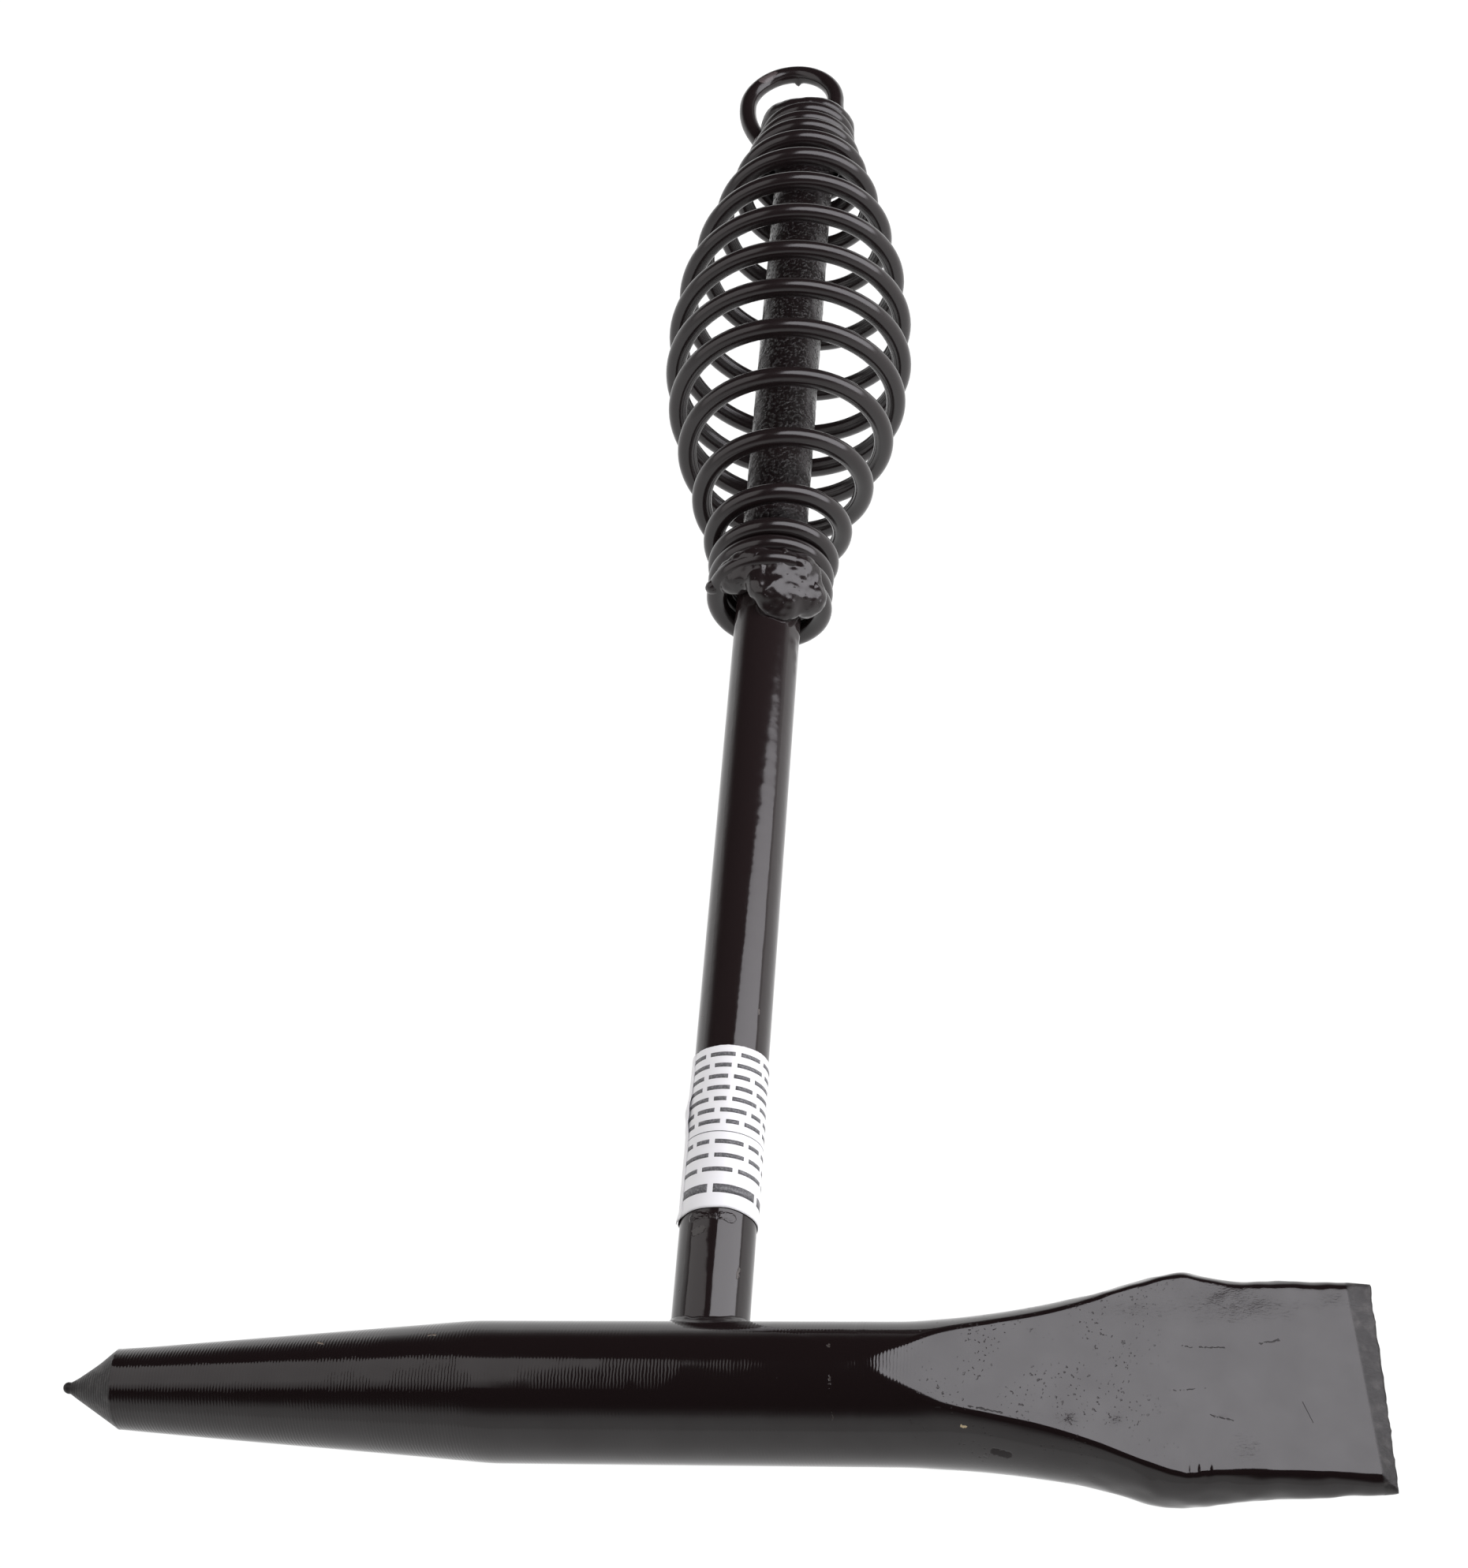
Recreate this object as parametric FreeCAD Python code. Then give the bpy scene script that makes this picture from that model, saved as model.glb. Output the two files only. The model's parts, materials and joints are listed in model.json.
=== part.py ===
import FreeCAD, Part
import math
import os

# Chipping hammer with a coiled wire grip, millimetres.
#
# Every piece is drawn in the hammer's own axes: X along the head, with the point at -X and the
# chisel at +X, Y along the handle from the head to the hanging ring, and Z square to both.
# The origin of those axes is where the handle's axis meets the head's axis. lay_down() then tips
# the whole hammer back until head and grip both rest on the ground, and puts the row's origin
# under the middle of its box.

# Head: a round bar drawn to a point at one end and forged to a chisel at the other
head_radius = 8.75
point_tip_x = -83.3
point_nub_radius = 0.9
point_base_x = -75.4
point_base_radius = 5.05
taper_end_x = -29.5
flat_start_x = 21.4
flat_angle = 6.6
blade_start_x = 24.0
shoulder_x = 58.5
edge_x = 82.35
edge_slant = 3.2
edge_thickness = 1.2
bevel_length = 2.3
bevel_slant = 6.0
blade_offset = 0.9
edge_offset = 0.5
blade_stations = 20
# How the chisel spreads: (x, half width of the flat, half width over the bulged sides)
blade_start_flat = math.sqrt(head_radius ** 2 - (head_radius - (blade_start_x - flat_start_x)
                             * math.tan(math.radians(flat_angle))) ** 2)
blade_spread = [
    (blade_start_x, blade_start_flat, head_radius),
    (30.0, 4.9, 9.0),
    (36.0, 6.2, 9.65),
    (42.0, 7.5, 10.7),
    (48.0, 9.4, 12.0),
    (54.0, 11.7, 13.8),
    (shoulder_x, 12.9, 14.55),
    (62.0, 12.4, 14.35),
    (67.0, 12.0, 14.0),
    (75.0, 12.0, 13.75),
    (86.0, 12.0, 13.3),
]
socket_floor_y = -3.5

# Handle rod, welded into the head's socket
rod_radius = 5.0
rod_end_y = 241.0
seam_width = 1.1

# Coil grip: one right-handed wire, tight at both ends and open in two waves between them
wire_radius = 1.55
coil_start_y = 131.9
coil_first_turn = -0.85
coil_last_turn = 15.45
tight_pitch = 3.12
neck_wave = (8.9, 4.0, 2.1)
belly_wave = (10.7, 9.3, 3.7)
belly_y = 184.5
belly_radius = 18.6
neck_y = 135.5
neck_radius = 8.1
tail_y = 238.5
tail_radius = 6.85
arcs_per_turn = 12

# Hanging ring: a wire loop with its two legs welded to the last turn
ring_wire_radius = 1.5
ring_z = -1.5
ring_centre_x = -3.6
ring_half_width = 7.95
ring_bow_y = 252.4
ring_left_foot = (-8.3, 241.4)
ring_right_foot = (6.5, 243.5)

# Paper label wrapped round the rod
label_start_y = 23.1
label_end_y = 48.7
label_thickness = 0.15


def vec(x, y, z):
    return FreeCAD.Vector(x, y, z)


def smooth(t):
    """Ease from 0 to 1 as t goes from 0 to 1."""
    t = min(max(t, 0.0), 1.0)
    return t * t * (3.0 - 2.0 * t)


# ---- tubes along tangent arcs ----

def arc_from_tangent(start, tangent, end):
    """The arc that leaves start along tangent and arrives at end."""
    chord = end - start
    along = chord * (1.0 / chord.Length)
    lean = tangent.getAngle(chord)
    side = tangent - along * tangent.dot(along)
    middle = start + chord * 0.5
    if side.Length < 1e-7:
        return Part.LineSegment(start, end).toShape()
    middle = middle + side * (chord.Length / 2 * math.tan(lean / 2) / side.Length)
    return Part.Arc(start, middle, end).toShape()


def biarc(start, start_tangent, end, end_tangent):
    """Two arcs that join two points and leave and arrive along the given unit tangents."""
    gap = end - start
    both = start_tangent + end_tangent
    turn = 2.0 * (1.0 - start_tangent.dot(end_tangent))
    if turn < 1e-9:
        reach = gap.dot(gap) / (4.0 * gap.dot(end_tangent))
    else:
        root = math.sqrt(gap.dot(both) ** 2 + turn * gap.dot(gap))
        reach = (root - gap.dot(both)) / turn
    meet = (start + start_tangent * reach + end - end_tangent * reach) * 0.5
    first = arc_from_tangent(start, start_tangent, meet)
    second = arc_from_tangent(end, end_tangent * -1.0, meet)
    return [first, second]


def tube(points, tangents, radius):
    """A closed round bar along the arcs through the points."""
    edges = []
    for i in range(len(points) - 1):
        edges += biarc(points[i], tangents[i], points[i + 1], tangents[i + 1])
    path = Part.Wire(Part.__sortEdges__(edges))
    section = Part.Wire(Part.makeCircle(radius, points[0], tangents[0]))
    return path.makePipeShell([section], True, False)


# ---- head ----

def flat_height(x):
    """Half the head's thickness under the two forged flats."""
    return head_radius - (x - flat_start_x) * math.tan(math.radians(flat_angle))


def bar_and_point():
    """The round bar, its long taper and its ground point, as one turned shape."""
    nub_x = point_tip_x + point_nub_radius
    lean = math.radians(50.0)
    nub_side = vec(nub_x - point_nub_radius * math.cos(lean + 0.6), point_nub_radius * math.sin(lean + 0.6), 0)
    nub_mid = vec(nub_x - point_nub_radius * math.cos(0.7), point_nub_radius * math.sin(0.7), 0)
    outline = [
        Part.Arc(vec(point_tip_x, 0, 0), nub_mid, nub_side).toShape(),
        Part.LineSegment(nub_side, vec(point_base_x, point_base_radius, 0)).toShape(),
        Part.LineSegment(vec(point_base_x, point_base_radius, 0), vec(taper_end_x, head_radius, 0)).toShape(),
        Part.LineSegment(vec(taper_end_x, head_radius, 0), vec(blade_start_x, head_radius, 0)).toShape(),
        Part.LineSegment(vec(blade_start_x, head_radius, 0), vec(blade_start_x, 0, 0)).toShape(),
        Part.LineSegment(vec(blade_start_x, 0, 0), vec(point_tip_x, 0, 0)).toShape(),
    ]
    face = Part.Face(Part.Wire(outline))
    bar = face.revolve(vec(0, 0, 0), vec(1, 0, 0), 360)
    for side in (1, -1):
        bar = bar.cut(flat_waste(side))
    return bar


def flat_waste(side):
    """The wedge of steel that one forged flat takes off the bar."""
    far_x = blade_start_x + 5
    corners = [
        vec(flat_start_x, -20, side * head_radius),
        vec(far_x, -20, side * flat_height(far_x)),
        vec(far_x, -20, side * 20),
        vec(flat_start_x, -20, side * 20),
    ]
    return Part.Face(Part.makePolygon(corners + corners[:1])).extrude(vec(0, 40, 0))


def spread_at(x, column):
    """Smooth curve through one column of blade_spread, with level ends and no overshoot."""
    spots = [(row[0], row[column]) for row in blade_spread]
    slopes = [(q[1] - p[1]) / (q[0] - p[0]) for p, q in zip(spots, spots[1:])]
    lean = [slopes[0]] + [0.0] * (len(slopes) - 1) + [slopes[-1]]
    for i in range(1, len(slopes)):
        before, after = slopes[i - 1], slopes[i]
        if before * after > 0:
            lean[i] = 2 * before * after / (before + after)
    if column == 2:
        lean[0] = 0.0
    i = max(k for k in range(len(slopes)) if spots[k][0] <= x + 1e-9)
    (x0, y0), (x1, y1) = spots[i], spots[i + 1]
    run = x1 - x0
    t = (x - x0) / run
    hermite = (2 * t ** 3 - 3 * t ** 2 + 1) * y0 + (3 * t ** 2 - 2 * t ** 3) * y1
    return hermite + (t ** 3 - 2 * t ** 2 + t) * run * lean[i] + (t ** 3 - t ** 2) * run * lean[i + 1]


def blade_section(x):
    """The blade's outline at x: two flats joined by two bulged sides."""
    middle = blade_offset * smooth((x - blade_start_x) / (shoulder_x - blade_start_x))
    middle += edge_offset * smooth((x - shoulder_x) / (edge_x - shoulder_x))
    height, flat_half, outer_half = flat_height(x), spread_at(x, 1), spread_at(x, 2)
    corners = [(1, 1), (-1, 1), (-1, -1), (1, -1)]
    spots = [vec(x, middle + a * flat_half, b * height) for a, b in corners]
    edges = [
        Part.LineSegment(spots[0], spots[1]).toShape(),
        Part.Arc(spots[1], vec(x, middle - outer_half, 0), spots[2]).toShape(),
        Part.LineSegment(spots[2], spots[3]).toShape(),
        Part.Arc(spots[3], vec(x, middle + outer_half, 0), spots[0]).toShape(),
    ]
    return Part.Wire(edges)


def blade():
    """The forged chisel: its flats close in while its sides spread to a shoulder."""
    end_x = edge_x + 3
    step = (end_x - blade_start_x) / blade_stations
    sections = [blade_section(blade_start_x + k * step) for k in range(blade_stations + 1)]
    return Part.makeLoft(sections, True, False)


def edge_waste():
    """What the grinder takes off: the slanted end and a bevel on each flat."""
    end = Part.makeBox(20, 80, 40, vec(edge_x, -40, -20))
    end.rotate(vec(edge_x, 0, 0), vec(0, 0, 1), edge_slant)
    start_x = edge_x - bevel_length
    inner = flat_height(start_x)
    fall = (inner - edge_thickness / 2) / bevel_length
    tools = []
    for side in (1, -1):
        corners = [
            vec(start_x - 2, -40, side * (inner + 2 * fall)),
            vec(start_x + 5, -40, side * (inner - 5 * fall)),
            vec(start_x + 5, -40, side * 20),
            vec(start_x - 2, -40, side * 20),
        ]
        wedge = Part.Face(Part.makePolygon(corners + corners[:1])).extrude(vec(0, 80, 0))
        wedge.rotate(vec(start_x, 0, 0), vec(0, 0, 1), bevel_slant)
        tools.append(wedge)
    return end.multiFuse(tools)


def hammer_head():
    """The whole head, with the blind socket that takes the rod."""
    solid = bar_and_point().fuse(blade()).cut(edge_waste())
    socket = Part.makeCylinder(rod_radius, 30, vec(0, socket_floor_y, 0), vec(0, 1, 0))
    return solid.cut(socket).removeSplitter()


# ---- handle ----

def handle_rod():
    """The straight rod, from the socket's floor to inside the coil's last turns."""
    rod = Part.makeCylinder(rod_radius, rod_end_y - socket_floor_y, vec(0, socket_floor_y, 0), vec(0, 1, 0))
    end_edges = [edge for edge in rod.Edges if edge.CenterOfMass.y > rod_end_y - 0.1 and edge.Closed]
    return rod.makeChamfer(0.6, end_edges)


def head_weld(head, rod):
    """The thin seam of weld and paint in the corner between rod and head."""
    both = head.fuse(rod)
    seam = [e for e in both.Edges if 5 < e.CenterOfMass.y < head_radius + 0.5 and abs(e.CenterOfMass.x) < 1]
    filled = both.makeChamfer(seam_width, seam)
    return filled.cut(head).cut(rod)


# ---- coil ----

def wave(turn, height, centre, width):
    return height * math.exp(-((turn - centre) / width) ** 2)


def pitch(turn):
    """Advance per turn, counted from the top of the first turn that shows in full.

    It is never less than the wire's thickness, so that closed turns lie side by side.
    """
    return max(tight_pitch, wave(turn, *neck_wave) + wave(turn, *belly_wave))


def coil_y(turn):
    """Where along the handle the wire's centre is, from the pitch summed in small steps."""
    steps = max(1, int(abs(turn) * 48))
    step = turn / steps
    return coil_start_y + sum(pitch((k + 0.5) * step) for k in range(steps)) * step


def coil_radius(y):
    """The grip swells from its neck to its belly and closes again towards its tail."""
    if y < belly_y:
        away, end_radius, power = (belly_y - y) / (belly_y - neck_y), neck_radius, 1.35
    else:
        away, end_radius, power = (y - belly_y) / (tail_y - belly_y), tail_radius, 1.1
    swell = math.cos(math.pi / 2 * min(away, 1.0)) ** power
    return end_radius + (belly_radius - end_radius) * swell


def coil_point(turn):
    """A point on the wire's centre line, right-handed, with whole turns at the top."""
    y = coil_y(turn)
    angle = math.pi / 2 - 2 * math.pi * turn
    radius = coil_radius(y)
    return vec(radius * math.cos(angle), y, radius * math.sin(angle))


def coil_grip():
    spans = int(round((coil_last_turn - coil_first_turn) * arcs_per_turn / 2))
    turns = [coil_first_turn + (coil_last_turn - coil_first_turn) * k / spans for k in range(spans + 1)]
    points = [coil_point(turn) for turn in turns]
    nudge = 0.002
    tangents = [(coil_point(t + nudge) - coil_point(t - nudge)).normalize() for t in turns]
    return tube(points, tangents, wire_radius)


# ---- ring and welds at the tail ----

def hang_ring():
    """A round bow with two legs that close in towards the coil's last turn."""
    left, right = ring_left_foot, ring_right_foot
    bow = ring_half_width
    spots = [
        (left[0], left[1], -0.50, 0.866),
        (ring_centre_x - bow, ring_bow_y - 0.5, 0.0, 1.0),
        (ring_centre_x, ring_bow_y + bow, 1.0, 0.0),
        (ring_centre_x + bow, ring_bow_y - 0.5, 0.0, -1.0),
        (right[0], right[1], 0.45, -0.893),
    ]
    points = [vec(x, y, ring_z) for x, y, dx, dy in spots]
    tangents = [vec(dx, dy, 0).normalize() for x, y, dx, dy in spots]
    return tube(points, tangents, ring_wire_radius)


def lump(centre, size):
    """An ellipsoid of weld metal with the three half sizes given."""
    ball = Part.makeSphere(1.0)
    stretch = FreeCAD.Matrix()
    stretch.scale(*size)
    ball = ball.transformGeometry(stretch)
    ball.translate(vec(*centre))
    return ball


def bead(start_y, end_y, inner, outer, start_angle, sweep):
    """Part of a round-backed ring of weld about the handle; angles run from +X towards +Z."""
    middle_y = (start_y + end_y) / 2
    back = Part.Arc(vec(inner, start_y, 0), vec(outer, middle_y, 0), vec(inner, end_y, 0)).toShape()
    base = Part.LineSegment(vec(inner, end_y, 0), vec(inner, start_y, 0)).toShape()
    ring = Part.Face(Part.Wire([back, base])).revolve(vec(0, 0, 0), vec(0, -1, 0), sweep)
    ring.rotate(vec(0, 0, 0), vec(0, -1, 0), start_angle)
    return ring


def largest(shape):
    return max(shape.Solids, key=lambda solid: solid.Volume)


def collar_weld(rod, coil):
    """The heavy lobed bead that joins the coil's first turns to the rod, open underneath."""
    body = bead(127.4, 132.2, rod_radius, 8.9, -15, 185)
    lobes = [lump((5.6, 129.4, 3.0), (3.0, 2.5, 3.4)), lump((-6.9, 131.6, 2.6), (2.4, 1.9, 2.5))]
    return largest(body.multiFuse(lobes).cut(rod).cut(coil))


def tail_weld(rod, coil, ring):
    """The bead that runs over the rod's end and the top of the coil's last turn."""
    body = bead(238.6, 242.6, rod_radius - 1.5, 7.9, 20, 140)
    return largest(body.cut(rod).cut(coil).cut(ring))


def ring_weld(foot, rod, coil, ring, tail):
    """A small lump where one leg of the ring meets the coil."""
    size = (2.6, 2.2, 2.6)
    centre = (foot[0] * 0.93, foot[1] - 1.2, ring_z + 0.6)
    return largest(lump(centre, size).cut(rod).cut(coil).cut(ring).cut(tail))


# ---- label ----

def label():
    outer = Part.makeCylinder(rod_radius + label_thickness, label_end_y - label_start_y,
                              vec(0, label_start_y, 0), vec(0, 1, 0))
    return outer.cut(Part.makeCylinder(rod_radius, 80, vec(0, 0, 0), vec(0, 1, 0)))


# ---- assembly ----

def build_pieces():
    head, rod, coil, ring = hammer_head(), handle_rod(), coil_grip(), hang_ring()
    tail = tail_weld(rod, coil, ring)
    return {
        "hammer_head": head,
        "handle_rod": rod,
        "coil_grip": coil,
        "hang_ring": ring,
        "head_weld": head_weld(head, rod),
        "collar_weld": collar_weld(rod, coil),
        "tail_weld": tail,
        "ring_weld_left": ring_weld(ring_left_foot, rod, coil, ring, tail),
        "ring_weld_right": ring_weld(ring_right_foot, rod, coil, ring, tail),
        "label": label(),
    }


def lay_down(pieces):
    """Tip the hammer back onto its head and belly, and centre its box over the origin."""
    tilt = math.degrees(math.asin((belly_radius + wire_radius - head_radius) / belly_y))
    placed = {}
    for name, shape in pieces.items():
        copy = shape.copy()
        copy.rotate(vec(0, 0, 0), vec(1, 0, 0), tilt)
        placed[name] = copy
    box = Part.makeCompound(list(placed.values())).optimalBoundingBox(False, False)
    for shape in placed.values():
        shape.translate(vec(-box.Center.x, -box.Center.y, -box.ZMin))
    return placed


os.makedirs("parts", exist_ok=True)
for name, shape in lay_down(build_pieces()).items():
    shape.exportStep("parts/" + name + ".step")
    print(name, shape.isValid(), len(shape.Solids), round(shape.Volume, 1), shape.BoundBox)
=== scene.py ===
import json
import math
import random

import bmesh
import bpy
from mathutils import Matrix, Vector, noise


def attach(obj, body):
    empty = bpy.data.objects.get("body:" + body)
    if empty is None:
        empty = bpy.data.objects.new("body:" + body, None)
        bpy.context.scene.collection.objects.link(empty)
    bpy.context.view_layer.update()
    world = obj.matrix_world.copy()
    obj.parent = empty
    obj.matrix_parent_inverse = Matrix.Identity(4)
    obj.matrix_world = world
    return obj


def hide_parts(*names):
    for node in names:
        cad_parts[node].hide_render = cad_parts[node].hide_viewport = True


# The looks of a welder's chipping hammer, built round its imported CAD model.
#
# Every piece is drawn in the hammer's own axes, in millimetres: X along the head towards the
# chisel, Y along the handle towards the hanging ring, Z square to both, and the origin where the
# handle's axis meets the head's. HAMMER places those axes in the row's frame.

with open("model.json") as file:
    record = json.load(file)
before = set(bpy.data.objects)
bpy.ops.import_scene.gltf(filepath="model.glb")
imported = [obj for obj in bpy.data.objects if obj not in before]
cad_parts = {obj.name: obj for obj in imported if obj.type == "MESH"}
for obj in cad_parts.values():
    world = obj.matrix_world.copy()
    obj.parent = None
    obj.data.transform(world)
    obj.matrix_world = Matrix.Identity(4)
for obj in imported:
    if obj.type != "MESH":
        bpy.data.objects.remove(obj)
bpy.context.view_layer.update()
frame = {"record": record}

MM = 0.001
CLIP_Y = 88.0        # where on the handle the record's clip mount is
clip = next(m for m in frame["record"]["mounts"] if m["name"] == "rod_clip")
along = Vector(clip["axis"]).normalized()
across = Vector((1, 0, 0))
upward = across.cross(along)
origin = Vector(clip["pos_m"]) - along * CLIP_Y * MM
HAMMER = Matrix.Translation(origin) @ Matrix((across, along, upward)).transposed().to_4x4()
TO_HAMMER = HAMMER.inverted()

# Head
HEAD_RADIUS = 8.75
TIP_X = -83.3
NUB_RADIUS = 0.75
NUB_NECK = 0.58
CONE_BASE_X = -75.4
CONE_BASE_RADIUS = 5.05
CONE_SLANT = 0.16    # the cone was ground a little askew
TAPER_END_X = -29.5
FLAT_START_X = 21.4
FLAT_EASE = 1.2      # the flats run out into the bar over this distance each way
FLAT_SLOPE = math.tan(math.radians(6.6))
BLADE_START_X = 24.0
SHOULDER_X = 58.5
EDGE_X = 82.35
EDGE_SLANT = math.tan(math.radians(3.2))
BEVEL_START_X = 80.05
BEVEL_SLANT = math.tan(math.radians(6.0))
EDGE_HALF = 0.6
BLADE_OFFSET = 0.9
EDGE_OFFSET = 0.5
# How the chisel spreads: (x, half width of the flat, half width over the bulged sides)
BLADE_SPREAD = (
    (24.0, 2.27, 8.75), (30.0, 4.9, 9.0), (36.0, 6.2, 9.65), (42.0, 7.5, 10.7),
    (48.0, 9.4, 12.0), (54.0, 11.7, 13.8), (58.5, 12.9, 14.55), (62.0, 12.4, 14.35),
    (67.0, 12.0, 14.0), (75.0, 12.0, 13.75), (86.0, 12.0, 13.3),
)

# Handle
ROD_RADIUS = 5.0
ROD_START_Y = 5.0
ROD_END_Y = 241.0

# Coil grip
WIRE_RADIUS = 1.55
COIL_START_Y = 131.9
FIRST_TURN = -0.85
LAST_TURN = 15.45
TIGHT_PITCH = 3.12
NECK_WAVE = (8.9, 4.0, 2.1)
BELLY_WAVE = (10.7, 9.3, 3.7)
BELLY_Y, BELLY_RADIUS = 184.5, 18.6
NECK_Y, NECK_RADIUS = 135.5, 8.1
TAIL_Y, TAIL_RADIUS = 238.5, 6.85

# Hanging ring
RING_WIRE = 1.5
RING_Z = -1.5
RING_X = -3.6
RING_BOW = 7.95
RING_BOW_Y = 252.4
LEFT_FOOT = (-8.3, 241.4)
RIGHT_FOOT = (6.5, 243.5)

# Label
LABEL_START_Y = 23.1
LABEL_END_Y = 47.6


def smooth(t):
    t = min(max(t, 0.0), 1.0)
    return t * t * (3.0 - 2.0 * t)


def lumps(p, size):
    """Smooth random height from -1 to 1 whose features are about size mm across."""
    return noise.noise(Vector(p) / size)


def bell(p, centre, size):
    """1 at centre, falling off over the three sizes given."""
    return math.exp(-sum(((a - b) / s) ** 2 for a, b, s in zip(p, centre, size)))


# ---- making pieces ----

def make_piece(name, points, faces, replaced, material):
    """A piece drawn in the hammer's axes, smooth shaded and riding on the one body."""
    mesh = bpy.data.meshes.new(name)
    mesh.from_pydata([place(p) for p in points], [], faces)
    mesh.validate()
    obj = bpy.data.objects.new(name, mesh)
    bpy.context.scene.collection.objects.link(obj)
    mesh.materials.append(material)
    outward(mesh)
    mesh.shade_smooth()
    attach(obj, "root")
    if replaced:
        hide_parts(replaced)
    return obj


def place(p):
    """A point given in the hammer's axes, in the row's frame."""
    return HAMMER @ (Vector(p) * MM)


def unplace(co):
    """A point of the row's frame in the hammer's axes."""
    return (TO_HAMMER @ co) / MM


def outward(mesh):
    bm = bmesh.new()
    bm.from_mesh(mesh)
    bmesh.ops.recalc_face_normals(bm, faces=bm.faces)
    bm.to_mesh(mesh)
    bm.free()


def roughen(obj, height):
    """Moves each point along its normal by height(point), both in mm."""
    mesh = obj.data
    moved = []
    for vertex in mesh.vertices:
        moved.append(vertex.co + vertex.normal * height(unplace(vertex.co)) * MM)
    for vertex, spot in zip(mesh.vertices, moved):
        vertex.co = spot
    mesh.update()


def ring_faces(rings, sides, caps=True):
    """Quads between consecutive rings of points, with a flat cap on each end."""
    faces = []
    for k in range(rings - 1):
        for i in range(sides):
            j = (i + 1) % sides
            faces.append((k * sides + i, k * sides + j, (k + 1) * sides + j, (k + 1) * sides + i))
    if caps:
        faces.append(tuple(range(sides)))
        faces.append(tuple((rings - 1) * sides + i for i in range(sides)))
    return faces


def tube(centres, sides_of, radius, sides):
    """Points of a round bar along centres, each ring spanned by its two side vectors."""
    points = []
    for k, (centre, (u, v)) in enumerate(zip(centres, sides_of)):
        for i in range(sides):
            a = 2 * math.pi * i / sides
            points.append(centre + (u * math.cos(a) + v * math.sin(a)) * radius(k, a))
    return points


# ---- materials ----

class Shader:
    """Adds the nodes of one material and returns their sockets."""

    def __init__(self, name):
        self.material = bpy.data.materials.new(name)
        self.material.use_nodes = True
        self.tree = self.material.node_tree
        self.tree.nodes.clear()
        self.shaken = None
        # The hammer's own axes, found from the row's
        axes = self.add("ShaderNodeMapping", vector_type="TEXTURE")
        self.feed(axes.inputs["Vector"], self.add("ShaderNodeTexCoord").outputs["Object"])
        self.feed(axes.inputs["Location"], HAMMER.to_translation())
        self.feed(axes.inputs["Rotation"], HAMMER.to_euler())
        self.coords = axes.outputs[0]

    def add(self, kind, **settings):
        node = self.tree.nodes.new(kind)
        for key, value in settings.items():
            setattr(node, key, value)
        return node

    def feed(self, socket, value):
        if isinstance(value, bpy.types.NodeSocket):
            self.tree.links.new(value, socket)
        else:
            socket.default_value = value

    def math(self, operation, a, b=0.0, clamp=False):
        node = self.add("ShaderNodeMath", operation=operation, use_clamp=clamp)
        self.feed(node.inputs[0], a)
        self.feed(node.inputs[1], b)
        return node.outputs[0]

    def vector(self, operation, a, b=(0, 0, 0)):
        node = self.add("ShaderNodeVectorMath", operation=operation)
        self.feed(node.inputs[0], a)
        self.feed(node.inputs[1], b)
        return node

    def axis(self, which):
        """One coordinate of the point, in mm."""
        split = self.add("ShaderNodeSeparateXYZ")
        self.feed(split.inputs[0], self.coords)
        return self.math("MULTIPLY", split.outputs[which], 1 / MM)

    def noise(self, size, detail=2.0, coords=None, distortion=0.0):
        """Random value about 0.5 with features about size mm across."""
        node = self.add("ShaderNodeTexNoise")
        self.feed(node.inputs["Vector"], coords or self.coords)
        self.feed(node.inputs["Scale"], 1 / (size * MM))
        self.feed(node.inputs["Detail"], detail)
        self.feed(node.inputs["Distortion"], distortion)
        return node.outputs[0]

    def stretched(self, x, y, z):
        """The coordinates scaled along each axis, for streaks."""
        return self.vector("MULTIPLY", self.coords, (x, y, z)).outputs[0]

    def step(self, value, low, high):
        """0 below low and 1 above high, eased between them; low may be the larger."""
        node = self.add("ShaderNodeMapRange", interpolation_type="SMOOTHSTEP")
        self.feed(node.inputs["Value"], value)
        self.feed(node.inputs["From Min"], low)
        self.feed(node.inputs["From Max"], high)
        return node.outputs[0]

    def blend(self, factor, a, b):
        node = self.add("ShaderNodeMix", data_type="FLOAT")
        self.feed(node.inputs[0], factor)
        self.feed(node.inputs[2], a)
        self.feed(node.inputs[3], b)
        return node.outputs[0]

    def tint(self, factor, a, b):
        node = self.add("ShaderNodeMix", data_type="RGBA")
        self.feed(node.inputs[0], factor)
        self.feed(node.inputs[6], a)
        self.feed(node.inputs[7], b)
        return node.outputs[2]

    def painted(self, name):
        """A mask stored on the mesh's points."""
        return self.add("ShaderNodeAttribute", attribute_name=name).outputs["Fac"]

    def wobble(self):
        """The coordinates shaken by up to half a unit of noise, made once and shared."""
        if self.shaken is None:
            node = self.add("ShaderNodeTexNoise")
            self.feed(node.inputs["Vector"], self.coords)
            self.feed(node.inputs["Scale"], 1 / (0.45 * MM))
            centred = self.vector("SUBTRACT", node.outputs["Color"], (0.5, 0.5, 0.5)).outputs[0]
            scaled = self.vector("MULTIPLY", centred, (0.55 * MM,) * 3).outputs[0]
            self.shaken = self.vector("ADD", self.coords, scaled).outputs[0]
        return self.shaken

    def stroke(self, a, b, width, ragged=True):
        """1 within width mm of the line from a to b, which may be one point."""
        start, run = Vector(a) * MM, (Vector(b) - Vector(a)) * MM
        offset = self.vector("SUBTRACT", self.wobble() if ragged else self.coords, start).outputs[0]
        if run.length > 0:
            dot = self.vector("DOT_PRODUCT", offset, run).outputs["Value"]
            share = self.math("DIVIDE", dot, run.length_squared, clamp=True)
            reach = self.vector("SCALE", run)
            self.feed(reach.inputs["Scale"], share)
            offset = self.vector("SUBTRACT", offset, reach.outputs[0]).outputs[0]
        distance = self.vector("LENGTH", offset).outputs["Value"]
        return self.step(distance, width * 1.15 * MM, width * 0.75 * MM)

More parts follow.
